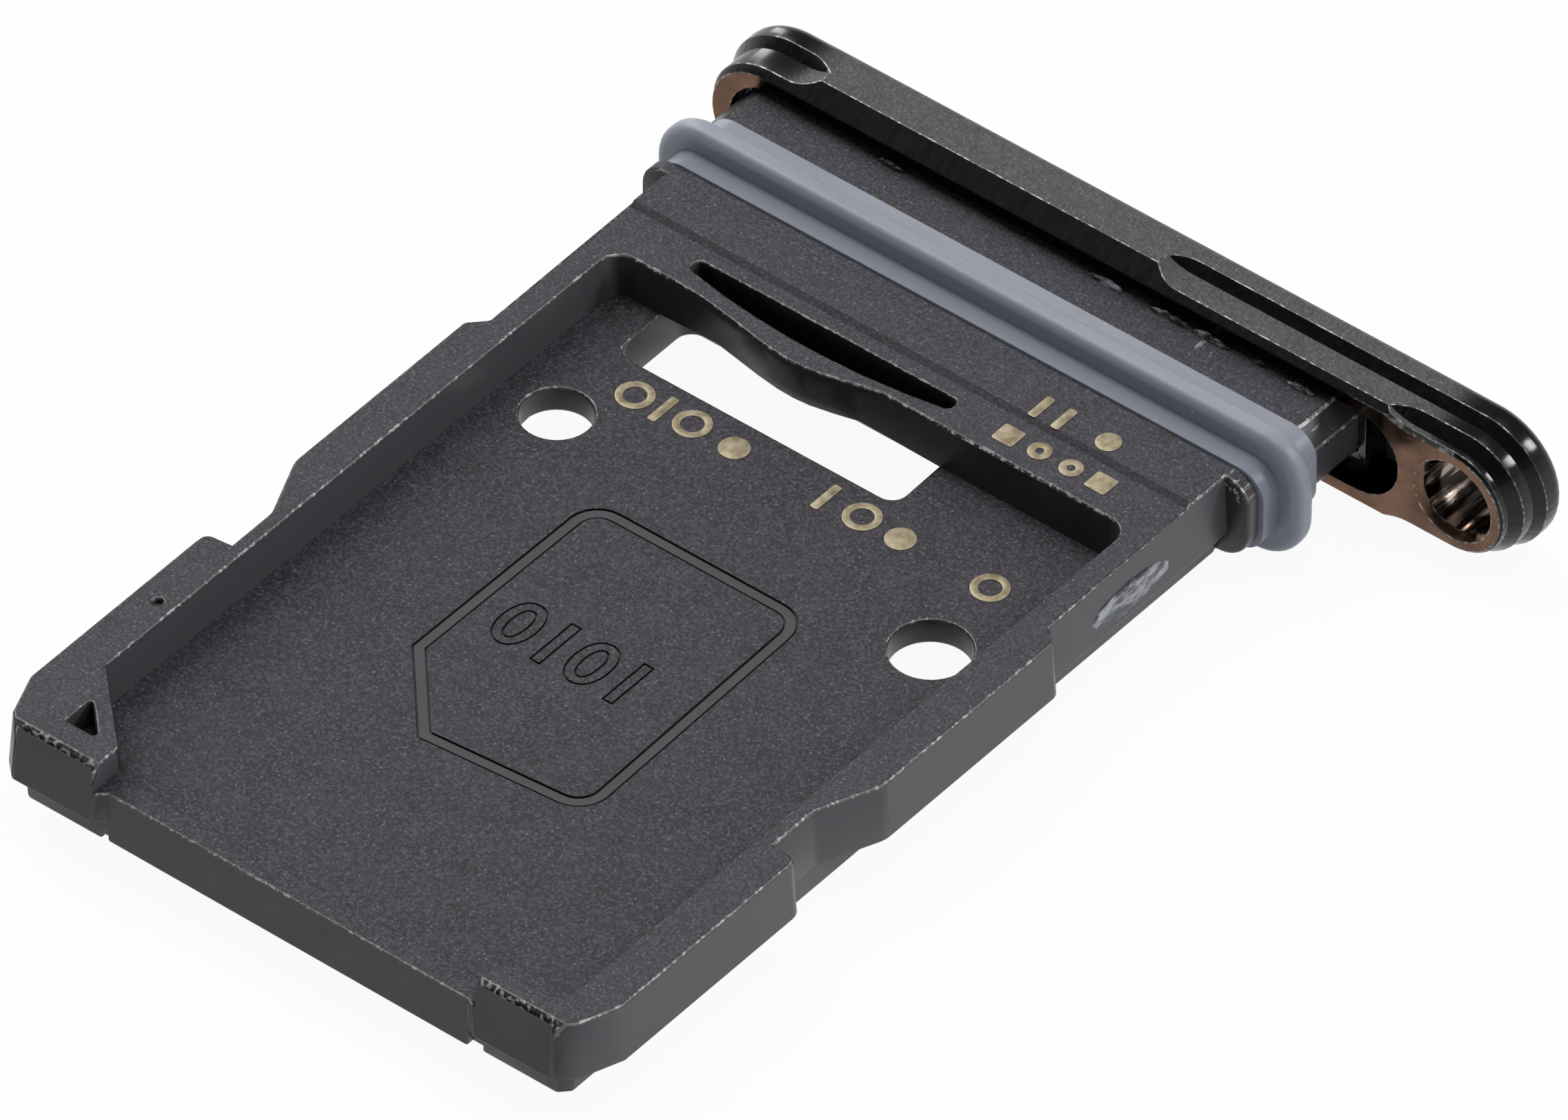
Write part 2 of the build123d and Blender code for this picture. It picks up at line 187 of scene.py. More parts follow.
def select_faces(piece: Piece, test: Test) -> None:
    """Select the faces whose middle and normal pass a test, while a piece is edited."""
    mesh = bmesh.from_edit_mesh(piece.data)
    for face in mesh.faces:
        face.select_set(test(face.calc_center_median(), face.normal))
    bmesh.update_edit_mesh(piece.data)


def finish_modifier(piece: Piece, kind: str, **settings: Any) -> None:
    """Add a modifier to a piece and apply it.

    Args:
        piece: The piece.
        kind: The modifier's type.
        **settings: The modifier's settings.
    """
    pick(piece)
    modifier = piece.modifiers.new(kind.lower(), kind)
    for name, value in settings.items():
        setattr(modifier, name, value)
    bpy.ops.object.modifier_apply(modifier=modifier.name)


def cut(piece: Piece, tool: Piece) -> None:
    """Cut a tool's shape out of a piece and delete the tool."""
    finish_modifier(piece, "BOOLEAN", object=tool, operation="DIFFERENCE", solver="EXACT")
    mesh = tool.data
    bpy.data.objects.remove(tool)
    bpy.data.meshes.remove(mesh)


def settle(piece: Piece) -> None:
    """Move a piece's place, turn and scale into its mesh."""
    pick(piece)
    bpy.ops.object.transform_apply(location=True, rotation=True, scale=True)


def shade(piece: Piece, angle: float = 28.0) -> None:
    """Shade a piece smooth, but sharp where faces meet at more than an angle in degrees."""
    pick(piece)
    bpy.ops.object.shade_smooth_by_angle(angle=math.radians(angle))


def smooth(piece: Piece, angle: float = 28.0) -> None:
    """Shade a piece by angle, with the light on its rounded edges led by its large faces."""
    shade(piece, angle)
    finish_modifier(piece, "WEIGHTED_NORMAL", keep_sharp=True, weight=80)


def round_edges(piece: Piece, width: float, angle: float, share: Callable[[Vector], float],
                finish: int = -1) -> None:
    """Round the outer edges of a piece.

    Args:
        piece: The piece.
        width: The full rounding, in millimetres.
        angle: How sharp an edge has to be, in degrees.
        share: The share of the full rounding that an edge gets, by its middle.
        finish: The number of the finish that the rounded edges get.
    """
    mesh = bmesh.new()
    mesh.from_mesh(piece.data)
    weight = mesh.edges.layers.float.new("bevel_weight_edge")
    for edge in mesh.edges:
        if edge.is_manifold and edge.is_convex and edge.calc_face_angle() > math.radians(angle):
            edge[weight] = share((edge.verts[0].co + edge.verts[1].co) / 2)
    mesh.to_mesh(piece.data)
    mesh.free()
    finish_modifier(
        piece,
        "BEVEL",
        width=width * MM,
        segments=2,
        limit_method="WEIGHT",
        use_clamp_overlap=False,
        material=finish,
    )


def refine_arcs(piece: Piece, centre: Vector, side: int, reach: float, cuts: int = 3) -> None:
    """Give the arcs round an axis along Y more corners, which lie on the true circles.

    Args:
        piece: The piece.
        centre: A point of the axis.
        side: 1 for the half on the axis's right, -1 for the half on its left.
        reach: How far from the axis the arcs lie, in millimetres.
        cuts: How many corners each stretch of an arc gains.
    """

    def polar(place: Vector) -> Vector:
        """Return a place's turn round the axis, its place along it and its distance from it."""
        across, up = side * (place.x - centre.x), place.z - centre.z
        return Vector((math.atan2(up, across), place.y, math.hypot(up, across)))

    mesh = bmesh.new()
    mesh.from_mesh(piece.data)
    arcs, circles = [], set()
    for edge in mesh.edges:
        first, last = (polar(corner.co) for corner in edge.verts)
        one_side = all(side * (corner.co.x - centre.x) > -WELD for corner in edge.verts)
        level = abs(first.y - last.y) < WELD and abs(first.z - last.z) < WELD
        if one_side and level and first.z < reach * MM and abs(first.x - last.x) > math.radians(5):
            arcs.append(edge)
            circles.add((first.y, first.z))
    count = len(mesh.verts)
    bmesh.ops.subdivide_edges(mesh, edges=arcs, cuts=cuts, use_grid_fill=True)
    mesh.verts.index_update()
    for corner in mesh.verts:
        turn, along, chord = polar(corner.co)
        if corner.index >= count:
            radii = [radius for y, radius in circles if abs(y - along) < WELD and radius > chord - WELD]
            radius = min(radii, default=chord)
            across = side * radius * math.cos(turn)
            corner.co = (centre.x + across, along, centre.z + radius * math.sin(turn))
    mesh.normal_update()
    mesh.to_mesh(piece.data)
    mesh.free()


def merge(piece: Piece, reach: float) -> None:
    """Merge a piece's corners that lie within a reach of each other, in metres."""
    with editing(piece):
        bpy.ops.mesh.select_all(action="SELECT")
        bpy.ops.mesh.remove_doubles(threshold=reach)


def copy_of(node: Piece, name: str) -> Piece:
    """Copy a CAD node as a new piece with merged corners.

    Args:
        node: The CAD node's object.
        name: The piece's name.

    Returns:
        The new piece.
    """
    piece = bpy.data.objects.new(name, node.data.copy())
    piece.data.name = name
    piece.data.materials.clear()
    bpy.context.scene.collection.objects.link(piece)
    pick(piece)
    bpy.ops.mesh.customdata_custom_splitnormals_clear()
    merge(piece, WELD)
    return piece


def put_in_order(piece: Piece) -> None:
    """Sort a piece's corners, edges and faces by their place, so that every run goes on alike."""
    old = piece.data
    places = [tuple(round(n, 9) for n in corner.co) for corner in old.vertices]
    order = sorted(range(len(places)), key=places.__getitem__)
    rank = {index: number for number, index in enumerate(order)}
    edges = sorted(sorted(rank[index] for index in edge.vertices) for edge in old.edges)
    faces = []
    for face in old.polygons:
        ring = [rank[index] for index in face.vertices]
        first = ring.index(min(ring))
        faces.append(ring[first:] + ring[:first])
    mesh = bpy.data.meshes.new(old.name)
    mesh.from_pydata([places[index] for index in order], edges, sorted(faces))
    piece.data = mesh
    bpy.data.meshes.remove(old)
    mesh.name = piece.name


def flatten(piece: Piece) -> None:
    """Make each flat face of a piece one face."""
    with editing(piece):
        bpy.ops.mesh.select_all(action="SELECT")
        bpy.ops.mesh.dissolve_limited(angle_limit=math.radians(0.3))


def join(parts: list[Piece], name: str) -> Piece:
    """Join parts into one piece.

    Args:
        parts: The parts, which become one mesh.
        name: The piece's name.

    Returns:
        The joined piece.
    """
    pick(parts[0])
    for part in parts[1:]:
        part.select_set(True)
    bpy.ops.object.join()
    parts[0].name = parts[0].data.name = name
    return parts[0]


def mount(piece: Piece, slot: Slot | None, *nodes: str) -> None:
    """Let a piece ride on the tray, and hide the CAD nodes that it replaces.

    Args:
        piece: The finished piece.
        slot: Not used.
        *nodes: The CAD nodes that it replaces.
    """
    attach(piece, ROOT)
    if nodes:
        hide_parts(*nodes)
    LOG.info("%s: %d faces", piece.name, len(piece.data.polygons))


class Graph:
    """A material's node tree, with short calls that add nodes to it and link them."""

    def __init__(self, name: str) -> None:
        """Start an empty material.

        Args:
            name: The material's name.
        """
        self.material = bpy.data.materials.new(name)
        self.material.use_nodes = True
        self.tree = self.material.node_tree
        self.tree.nodes.clear()
        self.place = self.add("ShaderNodeTexCoord").outputs["Object"]

    def add(self, kind: str, inputs: dict[Any, Any] | None = None, **settings: Any) -> bpy.types.Node:
        """Add a node.

        Args:
            kind: The node's type.
            inputs: A value or a socket to link for each input.
            **settings: The node's own settings.

        Returns:
            The node.
        """
        node = self.tree.nodes.new(kind)
        for name, value in settings.items():
            setattr(node, name, value)
        for name, value in (inputs or {}).items():
            if isinstance(value, Socket):
                self.tree.links.new(value, node.inputs[name])
            else:
                node.inputs[name].default_value = value
        return node

    def noise(self, per_mm: float, detail: float = 2.0, stretch: Triple = (1, 1, 1)) -> Socket:
        """Return soft noise.

        Args:
            per_mm: How many times it varies in a millimetre.
            detail: How many finer layers it has.
            stretch: How much faster it varies along each axis.

        Returns:
            The noise, from 0 to 1.
        """
        place = self.add("ShaderNodeMapping", {"Vector": self.place, "Scale": stretch}).outputs["Vector"]
        names = {"Vector": place, "Scale": per_mm / MM, "Detail": detail}
        return self.add("ShaderNodeTexNoise", names).outputs["Fac"]

    def specks(self, per_mm: float, share: float, reach: float) -> Socket:
        """Return small scattered specks.

        Args:
            per_mm: How many grains lie along a millimetre.
            share: The share of the grains that shine.
            reach: A speck's radius, in grains.

        Returns:
            1 on a speck and 0 off it.
        """
        cells = self.add("ShaderNodeTexVoronoi", {"Vector": self.place, "Scale": per_mm / MM})
        chosen = self.math("LESS_THAN", self.split(cells.outputs["Color"])[0], share)
        spot = self.ramp(cells.outputs["Distance"], reach, reach / 2)
        return self.times(chosen, spot)

    def near(self, place: Vector, reach: float) -> Socket:
        """Return 1 at a place, falling to 0 at a reach in millimetres."""
        away = self.add("ShaderNodeVectorMath", {0: self.place, 1: place}, operation="DISTANCE")
        return self.ramp(away.outputs["Value"], reach * MM, 0.4 * reach * MM)

    def split(self, vector: Socket) -> list[Socket]:
        """Return a vector's three numbers."""
        return list(self.add("ShaderNodeSeparateXYZ", {"Vector": vector}).outputs)

    def normal(self) -> list[Socket]:
        """Return the three numbers of the surface's own normal."""
        return self.split(self.add("ShaderNodeNewGeometry").outputs["Normal"])

    def math(self, operation: str, a: Any, b: Any = 0.0) -> Socket:
        """Return the result of one sum."""
        return self.add("ShaderNodeMath", {0: a, 1: b}, operation=operation).outputs[0]

    def times(self, first: Any, second: Any) -> Socket:
        """Return the product of two shares."""
        return self.math("MULTIPLY", first, second)

    def over_tongue(self, left: float, right: float) -> Socket:
        """Return 1 between the tongue's sides, falling to 0 a little outside them."""
        across = self.split(self.place)[0]
        inside = self.ramp(across, left - 0.1 * MM, left)
        return self.times(inside, self.ramp(across, right + 0.3 * MM, right))

    def ramp(self, value: Socket, low: float, high: float, start: float = 0.0,
             end: float = 1.0) -> Socket:
        """Return a smooth step.

        Args:
            value: What the step follows.
            low: Where it starts.
            high: Where it ends.
            start: The result at the start.
            end: The result at the end.

        Returns:
            The step's result.
        """
        names = {"Value": value, "From Min": low, "From Max": high, "To Min": start, "To Max": end}
        return self.add("ShaderNodeMapRange", names, interpolation_type="SMOOTHSTEP").outputs["Result"]

    def mix(self, share: Any, first: Any, second: Any) -> Socket:
        """Return a colour between two colours."""
        first, second = (c if isinstance(c, Socket) else (*c, 1.0) for c in (first, second))
        return self.add("ShaderNodeMix", {0: share, 6: first, 7: second}, data_type="RGBA").outputs[2]

    def bump(self, height: Socket, rise: float, strength: float = 1.0) -> Socket:
        """Return a normal that follows fine relief.

        Args:
            height: The relief.
            rise: Its height in millimetres.
            strength: How much of it shows.

        Returns:
            The bumped normal.
        """
        names = {"Height": height, "Distance": rise * MM, "Strength": strength}
        return self.add("ShaderNodeBump", names).outputs["Normal"]

    def surface(self, **inputs: Any) -> Material:
        """Close the material with its surface.

        Args:
            **inputs: The surface's inputs, with _ for a space in their names.

        Returns:
            The material.
        """
        names = {name.replace("_", " "): value for name, value in inputs.items()}
        for name, value in names.items():
            if isinstance(value, tuple):
                names[name] = (*value, 1.0)
        surface = self.add("ShaderNodeBsdfPrincipled", names)
        self.add("ShaderNodeOutputMaterial", {"Surface": surface.outputs[0]})
        return self.material


@dataclass(frozen=True)
class MouldedPlastic:
    """Charcoal plastic: a fine grain with small specks on what faces up, smooth walls and a few scuffs,
    with painted light on faces turned to the right and on the high rims.
    """

    scuffs: tuple[Vector, ...]
    top: float
    scuff_reach: float = 0.34
    dark: Triple = (0.0205, 0.0190, 0.0230)
    light: Triple = (0.0290, 0.0268, 0.0322)
    grain: Triple = (0.076, 0.0700, 0.0830)
    speck: Triple = (0.24, 0.23, 0.25)
    # Painted light: the colour of faces turned to the right.
    side: Triple = (0.095, 0.0850, 0.0980)
    scuff: Triple = (0.40, 0.40, 0.42)

    def make(self) -> Material:
        """Return the material."""
        graph = Graph("moulded_plastic")
        up = graph.ramp(graph.normal()[2], 0.70, 0.97)
        grain = graph.noise(24.0, 3.0)
        mottle = graph.ramp(graph.noise(1.6, 3.0), 0.3, 0.7)
        specks = graph.times(graph.specks(12.0, 0.38, 0.30), up)
        # Painted light: a mask of the high rims, which are lighter than the shaded pocket floor.
        high = graph.ramp(graph.split(graph.place)[2], self.top - 0.3 * MM, self.top - 0.1 * MM)
        base = graph.mix(mottle, self.dark, self.light)
        # Painted light: faces turned to the right are lighter.
        base = graph.mix(graph.ramp(graph.normal()[0], 0.5, 0.95), base, self.side)
        base = graph.mix(graph.times(graph.ramp(grain, 0.40, 0.68), up), base, self.grain)
        base = graph.mix(graph.times(specks, 0.40), base, self.speck)
        # Painted light on the high rims, in the speck colour.
        base = graph.mix(graph.times(graph.times(high, up), 0.05), base, self.speck)
        lines = graph.ramp(graph.noise(5.0, 2.0, (3.0, 0.4, 3.0)), 0.58, 0.66)
        for place in self.scuffs:
            share = graph.times(lines, graph.near(place, self.scuff_reach))
            base = graph.mix(share, base, self.scuff)
        rough = graph.ramp(up, 0.0, 1.0, 0.34, 0.56)
        relief = graph.bump(graph.times(grain, up), 0.014, 0.8)
        return graph.surface(Base_Color=base, Roughness=rough, Specular_IOR_Level=0.28, Normal=relief)


@dataclass(frozen=True)
class KeyLitEdge:
    """Rounded plastic edges: painted highlight, pale and beaded, where they face the right and the front,
    and painted shade where they face the left and the rear.
    """

    dark: Triple = (0.022, 0.0210, 0.0240)
    # Painted highlight colour for edges facing the right.
    paler_tone: Triple = (0.19, 0.187, 0.195)
    # Painted shade colour for edges facing the left and the rear.
    painted_shade: Triple = (0.008, 0.0076, 0.0090)
    # Painted highlight beads.
    bead: Triple = (0.68, 0.675, 0.685)

    def make(self) -> Material:
        """Return the material."""
        graph = Graph("worn_edge")
        across, along, up = graph.normal()
        # Painted highlight: edges facing the right and the front get a paler colour and bright beads.
        right = graph.ramp(across, 0.0, 0.4)
        shown = graph.math("MAXIMUM", right, graph.ramp(along, -0.2, -0.6, 0.2, 0.75))
        shown = graph.times(graph.ramp(up, 0.10, 0.50), shown)
        beads = graph.times(graph.ramp(graph.noise(14.0, 2.0), 0.50, 0.64), shown)
        # Painted shade: edges facing the left and the rear are darker.
        turned_away_shade = graph.math("MAXIMUM", graph.ramp(across, -0.1, -0.4), graph.ramp(along, 0.1, 0.4))
        base = graph.mix(graph.times(right, graph.ramp(up, 0.10, 0.50)), self.dark, self.paler_tone)
        base = graph.mix(turned_away_shade, graph.mix(beads, base, self.bead), self.painted_shade)
        rough = graph.ramp(turned_away_shade, 0.0, 1.0, 0.26, 0.75)
        relief = graph.bump(graph.noise(20.0, 2.0), 0.010, 0.5)
        return graph.surface(Base_Color=base, Roughness=rough, Specular_IOR_Level=0.45, Normal=relief)


@dataclass(frozen=True)
class PressedFloor:
    """The smooth floor of what is pressed into the pocket."""

    name: str
    dark: Triple
    light: Triple

    def make(self) -> Material:
        """Return the material."""
        graph = Graph(self.name)
        base = graph.mix(graph.ramp(graph.noise(1.2, 2.0), 0.3, 0.7), self.dark, self.light)
        relief = graph.bump(graph.noise(18.0, 2.0), 0.002, 0.5)
        return graph.surface(Base_Color=base, Roughness=0.50, Specular_IOR_Level=0.4, Normal=relief)


@dataclass(frozen=True)
class TornPlastic:
    """Crumpled plastic where the moulding was torn from its gate, with pale patches painted as highlights.
    """

    dark: Triple = (0.075, 0.080, 0.090)
    # Painted highlight colour.
    light: Triple = (0.42, 0.44, 0.48)

    def make(self) -> Material:
        """Return the material."""
        graph = Graph("torn_plastic")
        # Painted highlights: pale patches on the crumpled plastic.
        torn = graph.ramp(graph.noise(4.5, 4.0, (1.0, 0.6, 1.6)), 0.46, 0.66)
        base = graph.mix(torn, self.dark, self.light)
        relief = graph.bump(graph.noise(9.0, 4.0), 0.03, 0.7)
        return graph.surface(Base_Color=base, Roughness=0.30, Normal=relief)


@dataclass(frozen=True)
class SealRubber:
    """Blue-grey rubber with a satin skin, with painted shade in front of its bead."""

    bead: float
    dark: Triple = (0.265, 0.285, 0.338)
    light: Triple = (0.315, 0.335, 0.392)
    # Painted shade colour for the band in front of the bead.
    front: Triple = (0.192, 0.214, 0.262)
    fleck: Triple = (0.50, 0.52, 0.57)

    def make(self) -> Material:
        """Return the material."""
        graph = Graph("satin_rubber")
        streaks = graph.noise(0.9, 3.0, (0.35, 2.0, 2.0))
        base = graph.mix(graph.ramp(streaks, 0.3, 0.7), self.dark, self.light)
        along = graph.split(graph.place)[1]
        # Painted shade: the band in front of the bead is darker.
        base = graph.mix(graph.ramp(along, self.bead, self.bead - 0.2 * MM), base, self.front)
        base = graph.mix(graph.times(graph.specks(5.0, 0.05, 0.2), 0.4), base, self.fleck)
        relief = graph.bump(graph.noise(14.0, 3.0), 0.003, 0.5)
        return graph.surface(Base_Color=base, Roughness=0.42, Normal=relief)


@dataclass(frozen=True)
class BlastedMetal:
    """Black anodised metal, bead-blasted on its long faces and smoother round its ends."""

    dark: Triple = (0.054, 0.0500, 0.0525)
    light: Triple = (0.074, 0.0685, 0.0718)
    speck: Triple = (0.22, 0.205, 0.205)
    end: Triple = (0.008, 0.0076, 0.008)
    end_from: float = 5.3 * MM
    end_full: float = 6.1 * MM

    def make(self) -> Material:
        """Return the material."""
        graph = Graph("blasted_metal")
        end = graph.ramp(graph.math("ABSOLUTE", graph.split(graph.place)[0]), self.end_from, self.end_full)
        long_face = graph.math("SUBTRACT", 1.0, end)
        grain = graph.noise(18.0, 3.0)
        base = graph.mix(graph.ramp(graph.noise(4.0, 3.0), 0.3, 0.7), self.dark, self.light)
        beads = graph.times(graph.ramp(graph.noise(17.0, 2.0), 0.46, 0.66), long_face)
        base = graph.mix(graph.times(beads, 0.20), base, self.speck)
        specks = graph.times(graph.specks(12.0, 0.40, 0.32), long_face)
        base = graph.mix(graph.times(specks, 0.40), base, self.speck)
        base = graph.mix(end, base, self.end)
        rough = graph.ramp(end, 0.0, 1.0, 0.48, 0.18)
        relief = graph.bump(graph.times(grain, long_face), 0.018, 0.9)
        return graph.surface(Base_Color=base, Roughness=rough, Specular_IOR_Level=0.35, Normal=relief)


@dataclass(frozen=True)
class SatinChamfer:
    """The dark, finely scored chamfer round the cap's back."""

    dark: Triple = (0.0030, 0.0029, 0.0030)
    light: Triple = (0.0080, 0.0077, 0.0079)

    def make(self) -> Material:
        """Return the material."""
        graph = Graph("satin_chamfer")
        scored = graph.noise(3.0, 4.0, (4.0, 1.0, 1.0))
        base = graph.mix(graph.ramp(scored, 0.35, 0.65), self.dark, self.light)
        return graph.surface(Base_Color=base, Roughness=0.36, Specular_IOR_Level=0.15,
                             Normal=graph.bump(scored, 0.006, 0.5))


@dataclass(frozen=True)
class PolishedMetal:
    """The cap's polished black steps, pocket and bores."""

    black: Triple = (0.0016, 0.0016, 0.0018)
    paler_tone: Triple = (0.0060, 0.0058, 0.0060)

    def make(self) -> Material:
        """Return the material."""
        graph = Graph("polished_metal")
        base = graph.mix(graph.ramp(graph.noise(5.0, 3.0), 0.5, 0.8), self.black, self.paler_tone)
        rough = graph.ramp(graph.noise(9.0, 2.0), 0.3, 0.7, 0.17, 0.26)
        return graph.surface(Base_Color=base, Roughness=rough, Specular_IOR_Level=0.30)


@dataclass(frozen=True)
class WarmReflectionBack:
    """The cap's milled back face: brown as a painted warm reflection on black metal, with painted shade
    above the tongue and painted reflected streaks in the bores.
    """

    tongue_top: float
    tongue_left: float
    tongue_right: float
    # The brown is a painted warm reflection on black metal.
    dark: Triple = (0.096, 0.053, 0.035)
    light: Triple = (0.165, 0.092, 0.061)
    # Painted shade colour for the strip above the tongue.
    black: Triple = (0.004, 0.004, 0.0042)
    bore: Triple = (0.030, 0.024, 0.020)
    # Painted reflection colour for the bore's streaks.
    reflected_streak: Triple = (0.30, 0.245, 0.21)

    def make(self) -> Material:
        """Return the material."""
        graph = Graph("brown_back")
        # Painted reflection: a warm brown over the milled face.
        base = graph.mix(graph.ramp(graph.noise(2.2, 4.0), 0.3, 0.7), self.dark, self.light)
        height = graph.split(graph.place)[2]
        # Painted shade: the back face is black above the tongue.
        shade_above_tongue = graph.ramp(height, self.tongue_top - 0.06 * MM, self.tongue_top + 0.02 * MM)
        over = graph.over_tongue(self.tongue_left, self.tongue_right)
        base = graph.mix(graph.times(shade_above_tongue, over), base, self.black)
        # Painted reflections: pale streaks along the bore walls.
        streaks = graph.ramp(graph.noise(5.0, 2.0, (2.0, 0.2, 2.0)), 0.42, 0.62)
        bore = graph.mix(streaks, self.bore, self.reflected_streak)
        base = graph.mix(graph.ramp(graph.normal()[1], -0.5, -0.2), base, bore)
        rough = graph.ramp(graph.noise(6.0, 2.0), 0.3, 0.7, 0.10, 0.17)
        relief = graph.bump(graph.noise(16.0, 2.0, (1, 1, 3)), 0.001, 0.4)
        return graph.surface(Base_Color=base, Roughness=rough, Metallic=1.0, Normal=relief)


@dataclass(frozen=True)
class GlintEdge:
    """The cap's thin rounded edges, with beads of painted highlight, and painted shade along the joint
    above the tongue.
    """

    back: float
    left: float
    right: float
    # Painted shade colour for the back edge above the tongue.
    black: Triple = (0.004, 0.004, 0.0042)
    dark: Triple = (0.070, 0.067, 0.066)
    # Painted highlight colour for the edges.
    glint: Triple = (0.34, 0.33, 0.32)

    def make(self) -> Material:
        """Return the material."""
        graph = Graph("bright_edge")
        # Painted highlights: bright beads along the rounded edges.
        base = graph.mix(graph.ramp(graph.noise(12.0, 3.0), 0.48, 0.66), self.dark, self.glint)
        # Painted shade: the back edge above the tongue is black.
        joint = graph.ramp(graph.split(graph.place)[1], self.back + 0.03 * MM, self.back + 0.015 * MM)
        over = graph.over_tongue(self.left, self.right)
        base = graph.mix(graph.times(joint, over), base, self.black)
        return graph.surface(Base_Color=base, Roughness=0.24, Metallic=0.5)


@dataclass(frozen=True)
class CuredAdhesive:
    """Glossy black adhesive, cloudy where it is thin."""

    black: Triple = (0.004, 0.004, 0.0045)
    cloudy: Triple = (0.030, 0.031, 0.036)
    name: str = "cured_adhesive"

    def make(self) -> Material:
        """Return the material."""
        graph = Graph(self.name)
        base = graph.mix(graph.ramp(graph.noise(3.0, 3.0), 0.45, 0.75), self.black, self.cloudy)
        relief = graph.bump(graph.noise(5.0, 3.0), 0.02, 0.5)
        return graph.surface(Base_Color=base, Roughness=0.14, Normal=relief)


@dataclass(frozen=True)
class GoldPrint:
    """Dull gold in mottled tones, with paler gold on the marks' rounded rims as a painted highlight."""

    name: str
    brown: Triple
    pale: Triple

    def make(self) -> Material:
        """Return the material."""
        graph = Graph(self.name)
        base = graph.mix(graph.ramp(graph.noise(7.0, 3.0), 0.32, 0.64), self.brown, self.pale)
        relief = graph.bump(graph.noise(14.0, 2.0), 0.006, 0.6)
        return graph.surface(Base_Color=base, Roughness=0.45, Metallic=0.25, Normal=relief)


